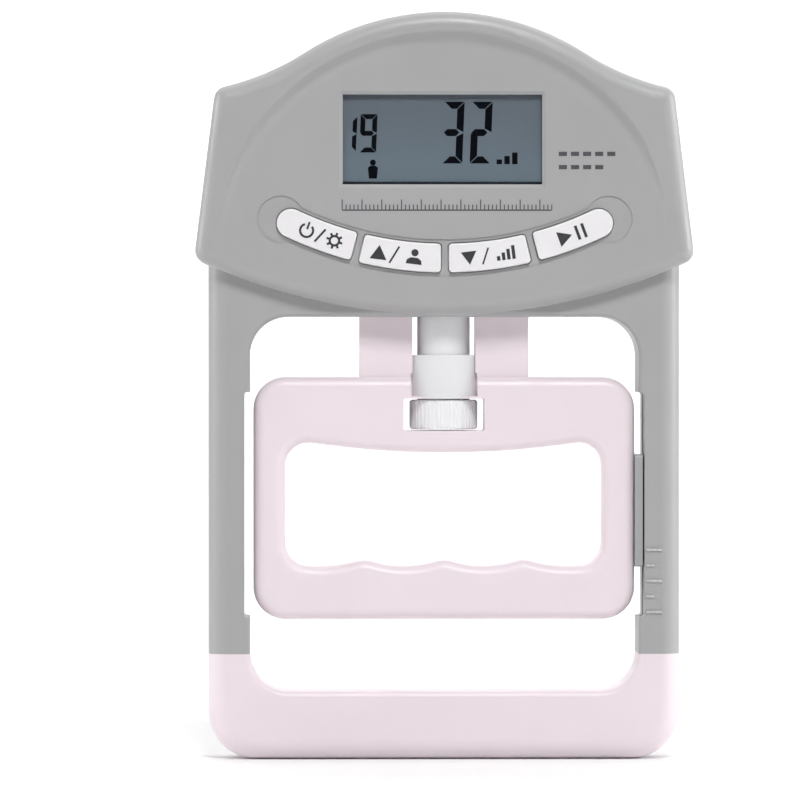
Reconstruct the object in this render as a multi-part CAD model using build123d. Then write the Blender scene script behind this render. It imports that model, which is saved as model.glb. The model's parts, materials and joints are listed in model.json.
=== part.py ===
from build123d import *
import math
import os

# Electronic hand dynamometer. Millimetres, +Z up, +X to the right of the display, front towards -Y.
# Origin: centre of the flat underside of the palm grip.

# --- head -------------------------------------------------------------------------------------
HEIGHT = 192.0
HEAD_ARC_R = 66.8            # crown of the head
HEAD_ARC_END_X = 36.0        # where the crown turns into the flared shoulder
SHOULDER = (58.8, 172.3)     # shoulder corner before rounding
CHEEK_X = 64.3               # widest point of the head before rounding
CHIN_Z = 114.4               # lowest point of the head
CHIN_R = 150.8               # bottom edge of the head
HEAD_CORNER_R = 3.5
FACE_Y = -15.3               # flat front panel
RIM_TOP_Y = -18.44           # front of the raised rim
RIM_START_Z = 130.0          # below this the front is flat
RIM_FULL_Z = 176.0           # above this the rim has its full height
HEAD_BACK_Y = 12.5
HEAD_FRONT_EDGE_R = 3.6
HEAD_BACK_EDGE_R = 3.0
PANEL_Z = 125.7              # centre of the round front panel
PANEL_R = 57.2
COVE_R = 3.2                 # hollow between the panel and the slope of the rim
SLOPE_RUN = 1.5              # straight part of the slope, at 45 degrees
RIM_CREST_R = 2.5
RUNOUT_R = 3.5               # blend where the hollow fades into the flat front
RUNOUT_DEPTH = 0.01
WALL = 2.0

# --- yoke (the two legs) ------------------------------------------------------------------------
YOKE_X = 60.7
YOKE_HALF_Y = 10.5
YOKE_TOP_Z = 150.0
YOKE_CORNER_R = 12.5
YOKE_EDGE_R = 5.2
GAP_X = 50.0                 # opening between the legs
GAP_Z0 = 17.5
GAP_Z1 = 113.9
GAP_CORNER_R = 9.9
GAP_EDGE_R = 1.4
GRIP_TOP_Z = 27.2            # top of the white palm grip
GRIP_HOLLOW_X = 46.0
GRIP_HOLLOW_Z = (2.4, 15.2)
GRIP_HOLLOW_HALF_Y = 8.4
SLOT_X = 51.5                # relieved inner wall along which the handle runs
SLOT_Z0 = 36.5
SLOT_Z1 = 94.5
SLOT_CORNER_R = 0.8
GROOVE_X = 53.0
GROOVE_HALF_Y = 1.9
LEG_HOLLOW_X0 = 54.6
LEG_HOLLOW_X1 = 58.3
LEG_HOLLOW_HALF_Y = 8.0
SPIGOT_Z0 = 15.0
SPIGOT_X0 = 52.6
SPIGOT_HALF_Y = 7.9
FIT_GAP = 0.15

# --- grip span scale on the right leg -----------------------------------------------------------
SCALE_FIRST_Z = 38.0
SCALE_PITCH = 4.0
SCALE_MARKS = 5
MARK_X0 = 51.9
MARK_LONG = 4.2
MARK_SHORT = 2.1
MARK_WIDTH = 0.7
MARK_PROUD = 0.35

# --- display ------------------------------------------------------------------------------------
DISPLAY_X = -0.6
DISPLAY_Z = 159.3
DISPLAY_W = 51.1
DISPLAY_H = 23.0
DISPLAY_BEVEL = 0.9
DISPLAY_BEVEL_DEPTH = 0.7
LENS_FRONT_Y = -14.5
LENS_BORDER = 1.0
GLASS_W = 54.6
GLASS_H = 25.6
GLASS_FRONT_Y = -13.25
GLASS_BACK_Y = -11.1
CONNECTOR_H = 2.0
CONNECTOR_HALF_X = 25.0

# --- circuit board ------------------------------------------------------------------------------
BOARD_X = 44.5
BOARD_Z0 = 124.8
BOARD_Z1 = 172.5
BOARD_FRONT_Y = -9.4
BOARD_BACK_Y = -7.8
BOARD_SCREWS = ((38.0, 168.0), (35.0, 144.6))

# --- buttons ------------------------------------------------------------------------------------
ROW_Z = 220.4                # centre of the curved button row
ROW_R = 91.5
ROW_HALF = 3.7
KEY_SPLIT_DEG = 14.1
KEY_END_DEG = 25.5
KEY_GAP = 2.0
KEY_FRONT_Y = -16.2
KEY_CLEARANCE = 0.25
KEY_FLANGE = 0.7
KEY_CORNER_R = 0.9
KEY_TRAVEL = 0.6
KEY_INNER_DEG = 7.05
KEY_OUTER_DEG = 20.3
SURROUND = 1.1
SURROUND_DEPTH = 0.35
DISH_X = 42.0
DISH_Z = 138.8
DISH_R = 6.1
SWITCH_SIDE = 6.0
SWITCH_FRONT_Y = -11.0
SWITCH_FLOOR = 0.3
PLUNGER_R = 1.7

# --- handle -------------------------------------------------------------------------------------
HANDLE_X = 49.1
HANDLE_Z0 = 36.0
HANDLE_Z1 = 98.4
HANDLE_HALF_Y = 8.0
HANDLE_CORNER_R = 8.3
HANDLE_EDGE_R = 2.8
FINGER_X = 40.9
FINGER_TOP_SIDE_Z = 82.5
FINGER_TOP_MID_Z = 78.9
FINGER_VALLEY_Z = 49.6
FINGER_CREST_Z = 51.5
FINGER_CREST_R = 5.1
FINGER_SIDE_Z = 50.6
FINGER_PITCH = 20.5
FINGER_CORNER_R = 6.0
FINGER_EDGE_R = 2.6
POST_X0 = 8.1
POST_X1 = 21.8
POST_HALF_Y = 5.5
POST_TOP_Z = 129.5
BOSS_R = 9.1
BOSS_Z1 = 104.1
NECK_CLEARANCE = 0.4
LUG = 1.4
LUG_Z = (94.8, 96.8)
LUG_HALF_Y = 3.4
NOTCH_X = 8.6                # front and back of the handle are cut away around the bush
NOTCH_Y = 3.9
NOTCH_FLOOR = 0.6
WINDOW_X = 10.4
WINDOW_Z0 = 84.6
WINDOW_Z1 = 92.8
SHOE_X = 51.1
SHOE_Z0 = 49.6
SHOE_Z1 = 78.4
SHOE_HALF_Y = 9.4
SHOE_RIB_X = 52.6
SHOE_RIB_HALF_Y = 1.5
SHOE_KEY_X = 47.4
SHOE_KEY_HALF_Y = 2.0
SHOE_KEY_Z = (54.0, 74.0)
HANDLE_SCREWS = ((44.4, 90.6), (44.2, 43.6))
HANDLE_SCREW_SEAT_Y = 4.6
HANDLE_SCREW_TIP_Y = -6.0

# --- adjusting wheel, stud and load cell --------------------------------------------------------
WHEEL_R = 8.8
WHEEL_Z0 = 84.9
WHEEL_Z1 = 92.5
WHEEL_RIBS = 48
WHEEL_RIB_DEPTH = 0.35
WHEEL_EDGE = 0.5
SLEEVE_R = 6.8
SLEEVE_TOP_Z = 125.0
SLEEVE_BORE_R = 4.6
SLEEVE_BORE_Z0 = 88.0
SLEEVE_RUNNING = 0.08
INSERT_R = 5.6
INSERT_LENGTH = 12.0
STUD_R = 4.0
STUD_RUNNING = 0.05
STUD_SEATING = 0.02
STUD_Z0 = 105.0
STUD_Z1 = 157.0
STUD_PITCH = 1.25
CELL_X = 52.0
CELL_Z0 = 146.2
CELL_Z1 = 158.7
CELL_HALF_Y = 6.3
CELL_BORE_R = 4.3
CELL_BORE_X = 22.0
CELL_SCREW_X = 48.5
CELL_SCREW_Z = (149.3, 155.6)
NUT_ACROSS = 13.0
NUT_H = 4.0

# --- battery bay --------------------------------------------------------------------------------
AAA_R = 5.15
AAA_LENGTH = 44.0
AAA_Y = 5.1
AAA_Z = (165.6, 176.4)
BAY_X = 26.2
BAY_Z0 = 160.2
BAY_Z1 = 182.0
BAY_Y0 = -0.4
BAY_WALL = 1.0
DOOR_X = 27.6
DOOR_Z0 = 159.1
DOOR_Z1 = 183.1
DOOR_T = 1.5
DOOR_GAP = 0.15
DOOR_CORNER_R = 2.5
TAB_X = 15.0
TAB_W = 6.0
TAB_Y = (9.3, 10.3)
DOOR_GROOVES = 4

# --- screws -------------------------------------------------------------------------------------
SHELL_SCREWS = ((50.5, 166.6), (53.6, 133.0), (56.6, 103.0), (56.6, 32.0))
GRIP_SCREWS = ((55.8, 21.0), (18.0, 8.8))
SCREW_R = 1.25
SCREW_HEAD_R = 2.5
SCREW_HEAD_H = 2.0
SCREW_SEAT_Y = 5.5
SCREW_TIP_Y = -8.0
SCREW_TIP_ROOM = 0.4
SCREW_CLEARANCE = 0.2
SCREW_HEAD_CLEARANCE = 0.3
SCREW_CROSS_HALF = 1.4
SCREW_CROSS_WIDTH = 0.6
SCREW_CROSS_DEPTH = 1.0
BOSS_OUTER_R = 3.1

FAR = 20.0                   # beyond every front and back surface
WIDE = 80.0                  # beyond both sides


def front_plane(y):
    return Plane(origin=(0, y, 0), x_dir=(1, 0, 0), z_dir=(0, -1, 0))


def slab(outline, y_front, y_back):
    """A flat outline drawn in X and Z, thickened from y_front to y_back."""
    return extrude(front_plane(y_back) * outline, amount=y_back - y_front)


def block(x0, x1, y0, y1, z0, z1):
    box = Box(x1 - x0, y1 - y0, z1 - z0)
    return Pos((x0 + x1) / 2, (y0 + y1) / 2, (z0 + z1) / 2) * box


def rod_y(x, z, radius, y0, y1):
    return slab(Pos(x, z) * Circle(radius), y0, y1)


def rod_z(x, y, radius, z0, z1):
    return Pos(x, y, (z0 + z1) / 2) * Cylinder(radius, z1 - z0)


def rod_x(y, z, radius, x0, x1):
    return Pos((x0 + x1) / 2, y, z) * Rot(0, 90, 0) * Cylinder(radius, x1 - x0)


def rounded(x0, x1, z0, z1, radius):
    return Pos((x0 + x1) / 2, (z0 + z1) / 2) * RectangleRounded(x1 - x0, z1 - z0, radius)


def both_sides(shape):
    return shape + mirror(shape, about=Plane.YZ)


def front_half(shape):
    return shape & block(-WIDE, WIDE, -2 * FAR, 0, -FAR, HEIGHT + FAR)


def rear_half(shape):
    return shape & block(-WIDE, WIDE, 0, 2 * FAR, -FAR, HEIGHT + FAR)


def one(shape):
    """The single solid that a boolean result is expected to hold."""
    solids = shape.solids()
    return max(solids, key=lambda s: s.volume) if len(solids) > 1 else solids[0]


def flip(point):
    return (-point[0], point[1])


# ---------------------------------------------------------------------------------- outlines
def head_outline(inset=0.0):
    crown_z = HEIGHT - HEAD_ARC_R
    start = (HEAD_ARC_END_X, crown_z + math.sqrt(HEAD_ARC_R**2 - HEAD_ARC_END_X**2))
    cheek = (CHEEK_X, CHIN_Z + CHIN_R - math.sqrt(CHIN_R**2 - CHEEK_X**2))
    direction = ((start[1] - crown_z) / HEAD_ARC_R, -start[0] / HEAD_ARC_R)
    flare = TangentArc(start, SHOULDER, tangent=direction)
    edges = [
        ThreePointArc(flip(start), (0, HEIGHT), start),
        flare,
        Line(SHOULDER, cheek),
        ThreePointArc(cheek, (0, CHIN_Z), flip(cheek)),
        Line(flip(cheek), flip(SHOULDER)),
        flare.mirror(Plane.YZ),
    ]
    outline = make_face(edges)
    corners = [v for v in outline.vertices() if abs(v.X) > HEAD_ARC_END_X + 1]
    outline = fillet(corners, HEAD_CORNER_R)
    return offset(outline, amount=-inset, kind=Kind.INTERSECTION) if inset else outline


def key_point(radius, degrees):
    angle = math.radians(degrees)
    return (radius * math.sin(angle), ROW_Z - radius * math.cos(angle))


def row_sector(start_deg, end_deg):
    outer = ROW_R + ROW_HALF
    inner = ROW_R - ROW_HALF
    middle = (start_deg + end_deg) / 2
    a, b = key_point(outer, start_deg), key_point(outer, end_deg)
    c, d = key_point(inner, end_deg), key_point(inner, start_deg)
    edges = [
        ThreePointArc(a, key_point(outer, middle), b),
        Line(b, c),
        ThreePointArc(c, key_point(inner, middle), d),
        Line(d, a),
    ]
    return make_face(edges)


def inner_key_outline():
    half_gap = math.degrees(KEY_GAP / 2 / ROW_R)
    sector = row_sector(half_gap, KEY_SPLIT_DEG - half_gap)
    return fillet(sector.vertices(), KEY_CORNER_R)


def outer_key_outline():
    half_gap = math.degrees(KEY_GAP / 2 / ROW_R)
    sector = row_sector(KEY_SPLIT_DEG + half_gap, KEY_END_DEG)
    near = sorted(sector.vertices(), key=lambda v: v.X)[:2]
    sector = fillet(near, KEY_CORNER_R)
    end = key_point(ROW_R, KEY_END_DEG)
    return sector + Pos(*end) * Circle(ROW_HALF)


def surround_outline():
    end = key_point(ROW_R, KEY_END_DEG)
    row = row_sector(-KEY_END_DEG, KEY_END_DEG)
    row = row + Pos(*end) * Circle(ROW_HALF) + Pos(*flip(end)) * Circle(ROW_HALF)
    row = offset(row, amount=SURROUND)
    return row + Pos(DISH_X, DISH_Z) * Circle(DISH_R) + Pos(-DISH_X, DISH_Z) * Circle(DISH_R)


def finger_outline():
    """Finger opening: a bulging top edge and four finger hollows along the bottom edge."""
    top_left, top_right = (-FINGER_X, FINGER_TOP_SIDE_Z), (FINGER_X, FINGER_TOP_SIDE_Z)
    left, right = (-FINGER_X, FINGER_SIDE_Z), (FINGER_X, FINGER_SIDE_Z)
    crests = [(n * FINGER_PITCH, FINGER_CREST_Z) for n in (-1, 0, 1)]
    points = [left, *crests, right]
    edges = [
        ThreePointArc(top_left, (0, FINGER_TOP_MID_Z), top_right),
        Line(top_right, right),
        Line(left, top_left),
    ]
    for number in range(len(points) - 1):
        valley = ((number - 1.5) * FINGER_PITCH, FINGER_VALLEY_Z)
        edges.append(ThreePointArc(points[number], valley, points[number + 1]))
    outline = make_face(edges)
    corners = [v for v in outline.vertices() if abs(v.X) > FINGER_X - 0.1]
    outline = fillet(corners, FINGER_CORNER_R)
    peaks = [v for v in outline.vertices() if abs(v.Y - FINGER_CREST_Z) < 0.1]
    peaks = [v for v in peaks if abs(v.X) < 1.5 * FINGER_PITCH]
    return fillet(peaks, FINGER_CREST_R)


# ---------------------------------------------------------------------------------- outer bodies
def head_solid():
    outline = head_outline()
    middle = ((FACE_Y + RIM_TOP_Y) / 2, (RIM_START_Z + RIM_FULL_Z) / 2)
    flat = Polyline((0, 100), (FACE_Y, 100), (FACE_Y, RIM_START_Z))
    lower = TangentArc((FACE_Y, RIM_START_Z), middle, tangent=(0, 1))
    upper = TangentArc(middle, (RIM_TOP_Y, RIM_FULL_Z), tangent=lower % 1)
    close = Polyline((RIM_TOP_Y, RIM_FULL_Z), (RIM_TOP_Y, HEIGHT + 8), (0, HEIGHT + 8), (0, 100))
    profile = make_face([*flat.edges(), lower, upper, *close.edges()])
    front = slab(outline, RIM_TOP_Y - 4, 0) & extrude(Plane.YZ * profile, amount=80, both=True)
    front = one(front)
    rim_edges = [e for e in front.edges() if e.bounding_box().max.Y < FACE_Y + 5]
    front = one(fillet(rim_edges, HEAD_FRONT_EDGE_R))
    front = one(front - panel_cutter())
    runout_x = math.sqrt(PANEL_R**2 - (RIM_START_Z - PANEL_Z) ** 2)
    runout = rod_y(runout_x, RIM_START_Z, RUNOUT_R, FACE_Y - 5, FACE_Y + RUNOUT_DEPTH)
    front = one(front - both_sides(runout))
    back = slab(outline, 0, HEAD_BACK_Y)
    back = fillet([e for e in back.edges() if e.bounding_box().min.Y > HEAD_BACK_Y - 0.1], HEAD_BACK_EDGE_R)
    return front + back


def panel_cutter():
    """Sinks the round panel: a hollow, a 45 degree slope and a rounded crest, turned about its centre."""
    half = math.sqrt(0.5)
    foot = (PANEL_R, FACE_Y)
    low = (PANEL_R + COVE_R * half, FACE_Y - COVE_R * (1 - half))
    high = (low[0] + SLOPE_RUN, low[1] - SLOPE_RUN)
    crest = (high[0] + RIM_CREST_R * half, high[1] - RIM_CREST_R * (1 - half))
    hollow = TangentArc(foot, low, tangent=(1, 0))
    slope = Line(low, high)
    top = TangentArc(high, crest, tangent=(1, -1))
    far_y = FACE_Y - 12
    rest = Polyline(crest, (crest[0], far_y), (0, far_y), (0, FACE_Y), foot)
    section = make_face([hollow, slope, top, *rest.edges()])
    return Pos(0, 0, PANEL_Z) * revolve(section, Axis.Y)


def yoke_outline(z0, z1):
    outer = Pos(0, (z0 + z1) / 2) * Rectangle(2 * YOKE_X, z1 - z0)
    bottom = [v for v in outer.vertices() if v.Y < z0 + 0.1]
    outer = fillet(bottom, YOKE_CORNER_R)
    return outer - rounded(-GAP_X, GAP_X, GAP_Z0, GAP_Z1, GAP_CORNER_R)


def yoke_solid():
    body = slab(yoke_outline(0, YOKE_TOP_Z), -YOKE_HALF_Y, YOKE_HALF_Y)
    faces = [e for e in body.edges() if abs(abs(e.center().Y) - YOKE_HALF_Y) < 0.01]
    outer = [e for e in faces if not is_gap_edge(e) and e.bounding_box().max.Z < YOKE_TOP_Z + 0.1]
    outer = [e for e in outer if e.center().Z < YOKE_TOP_Z - 0.1]
    body = fillet(outer, YOKE_EDGE_R)
    gap = [e for e in body.edges() if abs(abs(e.center().Y) - YOKE_HALF_Y) < 0.01 and is_gap_edge(e)]
    return one(fillet(gap, GAP_EDGE_R))


def is_gap_edge(edge):
    c = edge.center()
    inside_x = abs(c.X) < GAP_X + 0.05
    return inside_x and GAP_Z0 - 0.05 < c.Z < GAP_Z1 + 0.05


def handle_slot():
    relief = rounded(GAP_X - 4, SLOT_X, SLOT_Z0, SLOT_Z1, SLOT_CORNER_R)
    slot = slab(relief, -YOKE_HALF_Y - 1, YOKE_HALF_Y + 1)
    groove = block(GAP_X - 4, GROOVE_X, -GROOVE_HALF_Y, GROOVE_HALF_Y, SLOT_Z0, SLOT_Z1)
    return both_sides(slot) + groove


def head_hollow():
    inside = head_outline(WALL)
    hollow = slab(inside, FACE_Y + WALL, HEAD_BACK_Y - WALL)
    half_y = LEG_HOLLOW_HALF_Y
    leg = block(LEG_HOLLOW_X0, LEG_HOLLOW_X1, -half_y, half_y, GRIP_TOP_Z + 3, CHIN_Z + 20)
    return hollow + both_sides(leg)


def neck_opening(margin):
    half_x, half_y = POST_X1 + margin, POST_HALF_Y + margin
    posts = block(-half_x, half_x, -half_y, half_y, GAP_Z1 - 5, CHIN_Z + 4)
    return posts + rod_z(0, 0, BOSS_R + margin, GAP_Z1 - 5, CHIN_Z + 6.5)


def scale_marks():
    front = -YOKE_HALF_Y - MARK_PROUD
    half = MARK_WIDTH / 2
    marks = []
    for number in range(SCALE_MARKS):
        z = SCALE_FIRST_Z + number * SCALE_PITCH
        length = MARK_LONG if number % 2 == 0 else MARK_SHORT
        marks.append(block(MARK_X0, MARK_X0 + length, front, front + 1.0, z - half, z + half))
    return marks


def screw_bosses(y0, y1):
    bosses = None
    for x, z in SHELL_SCREWS:
        boss = both_sides(rod_y(x, z, BOSS_OUTER_R, y0, y1))
        bosses = boss if bosses is None else bosses + boss
    return bosses


def screw_holes(points, y_tip, y_seat):
    """Pilot hole in the front half, clearance hole and sunk head seat in the rear half."""
    holes = None
    for x, z in points:
        hole = rod_y(x, z, SCREW_R, y_tip - SCREW_TIP_ROOM, 0)
        hole += rod_y(x, z, SCREW_R + SCREW_CLEARANCE, 0, FAR)
        hole += rod_y(x, z, SCREW_HEAD_R + SCREW_HEAD_CLEARANCE, y_seat, FAR)
        hole = both_sides(hole)
        holes = hole if holes is None else holes + hole
    return holes


def screw(x, z, y_tip, y_seat):
    shank = rod_y(x, z, SCREW_R, y_tip, y_seat)
    head = rod_y(x, z, SCREW_HEAD_R, y_seat, y_seat + SCREW_HEAD_H)
    head = fillet([e for e in head.edges() if e.center().Y > y_seat + SCREW_HEAD_H - 0.1], 0.6)
    top = y_seat + SCREW_HEAD_H
    arm, half = SCREW_CROSS_HALF, SCREW_CROSS_WIDTH / 2
    cross = block(x - arm, x + arm, top - SCREW_CROSS_DEPTH, top + 1, z - half, z + half)
    cross += block(x - half, x + half, top - SCREW_CROSS_DEPTH, top + 1, z - arm, z + arm)
    return shank + head - cross


def screws(points, y_tip, y_seat):
    group = []
    for x, z in points:
        one_screw = one(screw(x, z, y_tip, y_seat))
        group += [one_screw, mirror(one_screw, about=Plane.YZ)]
    return Compound(children=[one(s) for s in group])


# ---------------------------------------------------------------------------------- shells
def housing():
    solid = head_solid() + yoke_solid()
    solid -= block(-WIDE, WIDE, -FAR, FAR, -5, GRIP_TOP_Z)
    return solid


def spigots():
    spigot = block(SPIGOT_X0, LEG_HOLLOW_X1, -SPIGOT_HALF_Y, SPIGOT_HALF_Y, SPIGOT_Z0, GRIP_TOP_Z + 1.0)
    return both_sides(spigot)


def front_shell(solid):
    shell = front_half(solid - head_hollow())
    shell += front_half(spigots())
    shell += screw_bosses(-YOKE_HALF_Y + 1, 0) & front_half(solid)
    for x, z in BOARD_SCREWS:
        shell += both_sides(rod_y(x, z, 2.5, FACE_Y + 1, BOARD_FRONT_Y))
        shell -= both_sides(rod_y(x, z, 1.0, FACE_Y + 2.5, BOARD_FRONT_Y + 1))
    shell -= handle_slot() + neck_opening(NECK_CLEARANCE)
    shell -= screw_holes(SHELL_SCREWS + GRIP_SCREWS[:1], SCREW_TIP_Y, SCREW_SEAT_Y)
    surround = slab(surround_outline(), FACE_Y - 1, FACE_Y + SURROUND_DEPTH)
    shell -= surround
    for outline in (inner_key_outline(), outer_key_outline()):
        shell -= both_sides(slab(offset(outline, amount=KEY_CLEARANCE), FACE_Y - 1, FACE_Y + WALL + 1))
    shell -= display_cut()
    for mark in scale_marks():
        shell += mark
    return one(shell)


def display_rectangle(grow):
    return Pos(DISPLAY_X, DISPLAY_Z) * Rectangle(DISPLAY_W + 2 * grow, DISPLAY_H + 2 * grow)


def display_cut():
    """Window with a sloping edge at the front and a seat for the lens behind."""
    outer = front_plane(FACE_Y) * display_rectangle(DISPLAY_BEVEL)
    inner = front_plane(FACE_Y + DISPLAY_BEVEL_DEPTH) * display_rectangle(0)
    window = slab(display_rectangle(0), FACE_Y - 1, 0)
    return window + loft([outer, inner]) + slab(display_rectangle(LENS_BORDER), LENS_FRONT_Y, 0)


def rear_shell(solid):
    shell = rear_half(solid - head_hollow())
    shell += rear_half(spigots())
    shell += screw_bosses(0, HEAD_BACK_Y - 1) & rear_half(solid)
    pads = block(CELL_SCREW_X - 3.4, CELL_SCREW_X + 3.4, CELL_HALF_Y, HEAD_BACK_Y - 1, CELL_Z0, CELL_Z1)
    shell += both_sides(pads)
    for z in CELL_SCREW_Z:
        shell -= both_sides(rod_y(CELL_SCREW_X, z, SCREW_R, CELL_HALF_Y - 1, HEAD_BACK_Y - 1.2))
    shell += bay_walls()
    shell -= bay_cut()
    shell -= handle_slot() + neck_opening(NECK_CLEARANCE)
    shell -= screw_holes(SHELL_SCREWS + GRIP_SCREWS[:1], SCREW_TIP_Y, SCREW_SEAT_Y)
    return one(shell)


def bay_walls():
    x = BAY_X + 1.4
    return block(-x, x, BAY_Y0 - BAY_WALL, HEAD_BACK_Y - 1, BAY_Z0 - BAY_WALL, BAY_Z1 + BAY_WALL)


def bay_cut():
    hollow = block(-BAY_X, BAY_X, BAY_Y0, HEAD_BACK_Y + 1, BAY_Z0, BAY_Z1)
    rebate = slab(door_outline(DOOR_GAP), HEAD_BACK_Y - DOOR_T - 0.05, HEAD_BACK_Y + 1)
    x0, x1 = TAB_X - TAB_W / 2 - 0.4, TAB_X + TAB_W / 2 + 0.4
    lip_z = DOOR_Z0 - DOOR_GAP
    slots = block(x0, x1, 7.6, 10.6, lip_z - 3.0, BAY_Z0 + 1)
    slots += block(x0, x1, 7.6, HEAD_BACK_Y - DOOR_T + 0.2, lip_z, BAY_Z0 + 1)
    slots = both_sides(slots)
    return hollow + rebate + slots


# ---------------------------------------------------------------------------------- palm grip
def palm_grip_solid():
    grip = yoke_solid() & block(-WIDE, WIDE, -FAR, FAR, -5, GRIP_TOP_Z)
    x0, x1, half_y = SPIGOT_X0 - FIT_GAP, LEG_HOLLOW_X1 + FIT_GAP, SPIGOT_HALF_Y + FIT_GAP
    socket = block(x0, x1, -half_y, half_y, SPIGOT_Z0 - FIT_GAP, GRIP_TOP_Z + 1)
    return grip - both_sides(socket)


def grip_hollow():
    outline = rounded(-GRIP_HOLLOW_X, GRIP_HOLLOW_X, *GRIP_HOLLOW_Z, 3.0)
    return slab(outline, -GRIP_HOLLOW_HALF_Y, GRIP_HOLLOW_HALF_Y)


def palm_grip_front():
    grip = front_half(palm_grip_solid() - grip_hollow())
    x, z = GRIP_SCREWS[1]
    grip += both_sides(rod_y(x, z, BOSS_OUTER_R, -GRIP_HOLLOW_HALF_Y - 0.5, 0))
    return one(grip - screw_holes(GRIP_SCREWS, SCREW_TIP_Y, SCREW_SEAT_Y))


def palm_grip_rear():
    grip = rear_half(palm_grip_solid() - grip_hollow())
    x, z = GRIP_SCREWS[1]
    grip += both_sides(rod_y(x, z, BOSS_OUTER_R, 0, GRIP_HOLLOW_HALF_Y + 0.5))
    return one(grip - screw_holes(GRIP_SCREWS, SCREW_TIP_Y, SCREW_SEAT_Y))


# ---------------------------------------------------------------------------------- display stack
def display_lens():
    wide, high = DISPLAY_W + 2 * LENS_BORDER - 0.2, DISPLAY_H + 2 * LENS_BORDER - 0.2
    return slab(Pos(0, DISPLAY_Z) * RectangleRounded(wide, high, 0.6), LENS_FRONT_Y, FACE_Y + WALL)


def display_glass():
    back = slab(Pos(0, DISPLAY_Z) * Rectangle(GLASS_W, GLASS_H), GLASS_FRONT_Y + 1.1, GLASS_BACK_Y)
    front = Pos(0, DISPLAY_Z + CONNECTOR_H / 2) * Rectangle(GLASS_W, GLASS_H - CONNECTOR_H)
    return back + slab(front, GLASS_FRONT_Y, GLASS_FRONT_Y + 1.1)


def connector_z():
    return DISPLAY_Z - GLASS_H / 2 + CONNECTOR_H


def display_holder():
    outline = Pos(0, DISPLAY_Z) * RectangleRounded(GLASS_W, GLASS_H, 0.8)
    holder = slab(outline, GLASS_BACK_Y, BOARD_FRONT_Y)
    window = rounded(-24, 24, connector_z() + 1.6, DISPLAY_Z + 10.6, 1.0)
    half_x, half_z = CONNECTOR_HALF_X + 0.2, CONNECTOR_H / 2 + 0.1
    z = connector_z()
    strip = block(-half_x, half_x, GLASS_BACK_Y - 1, BOARD_FRONT_Y + 1, z - half_z, z + half_z)
    return holder - slab(window, GLASS_BACK_Y - 1, GLASS_BACK_Y + 0.8) - strip


def connector_strip():
    half_x, half_z = CONNECTOR_HALF_X, CONNECTOR_H / 2
    z = connector_z()
    return block(-half_x, half_x, GLASS_BACK_Y, BOARD_FRONT_Y, z - half_z, z + half_z)


# ---------------------------------------------------------------------------------- electronics
def circuit_board():
    board = slab(rounded(-BOARD_X, BOARD_X, BOARD_Z0, BOARD_Z1, 2.0), BOARD_FRONT_Y, BOARD_BACK_Y)
    for x, z in BOARD_SCREWS:
        board -= both_sides(rod_y(x, z, 1.2, BOARD_FRONT_Y - 1, BOARD_BACK_Y + 1))
    return one(board)


def board_screws():
    group = []
    for x, z in BOARD_SCREWS:
        shank = rod_y(x, z, 1.0, FACE_Y + 3.0, BOARD_BACK_Y)
        head = rod_y(x, z, 1.9, BOARD_BACK_Y, BOARD_BACK_Y + 1.2)
        item = one(shank + head)
        group += [item, mirror(item, about=Plane.YZ)]
    return Compound(children=[one(s) for s in group])


def board_chips():
    y0, y1 = BOARD_BACK_Y, BOARD_BACK_Y + 1.3
    chips = [
        block(-6, 6, y0, y1, 160.5, 170.5),
        block(20, 25, y0, y1, 161.5, 165.5),
        block(-22, -14, y0, y1, 162, 168),
        block(-40, -34, y0, y1, 161.0, 164.6),
        block(28, 33, y0, y1, 161.0, 170.0),
    ]
    return Compound(children=[one(c) for c in chips])


def key_centres():
    return [
        flip(key_point(ROW_R, KEY_OUTER_DEG)),
        flip(key_point(ROW_R, KEY_INNER_DEG)),
        key_point(ROW_R, KEY_INNER_DEG),
        key_point(ROW_R, KEY_OUTER_DEG),
    ]


def tact_switches():
    group = []
    for x, z in key_centres():
        outline = Pos(x, z) * RectangleRounded(SWITCH_SIDE, SWITCH_SIDE, 0.6)
        body = slab(outline, SWITCH_FRONT_Y, BOARD_FRONT_Y)
        well = rod_y(x, z, PLUNGER_R + 0.3, SWITCH_FRONT_Y - 1, BOARD_FRONT_Y - SWITCH_FLOOR)
        group.append(one(body - well))
    return Compound(children=group)


def button(outline, side):
    back = FACE_Y + WALL + 0.3
    key = slab(outline, KEY_FRONT_Y, back + 0.5)
    key = fillet([e for e in key.edges() if abs(e.center().Y - KEY_FRONT_Y) < 0.01], 0.45)
    key += slab(offset(outline, amount=KEY_FLANGE), back, back + 0.8)
    key = one(key)
    return key if side > 0 else one(mirror(key, about=Plane.YZ))


def plunger(centre):
    x, z = centre
    back = FACE_Y + WALL + 1.1
    return rod_y(x, z, PLUNGER_R, back, BOARD_FRONT_Y - SWITCH_FLOOR - KEY_TRAVEL - 0.2)


# ---------------------------------------------------------------------------------- load cell
def load_cell():
    cell = block(-CELL_X, CELL_X, -CELL_HALF_Y, CELL_HALF_Y, CELL_Z0, CELL_Z1)
    middle = (CELL_Z0 + CELL_Z1) / 2
    cell = fillet(cell.edges().filter_by(Axis.Y), 1.0)
    for x in (CELL_BORE_X - 4.5, CELL_BORE_X + 4.5):
        cell -= both_sides(rod_y(x, middle, CELL_BORE_R, -10, 10))
    cell -= both_sides(block(CELL_BORE_X - 4.5, CELL_BORE_X + 4.5, -10, 10, middle - 1.2, middle + 1.2))
    for z in CELL_SCREW_Z:
        cell -= both_sides(rod_y(CELL_SCREW_X, z, SCREW_R + 0.1, -10, 10))
    return one(cell - rod_z(0, 0, STUD_R + STUD_SEATING, CELL_Z0 - 1, CELL_Z1 + 1))


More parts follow.
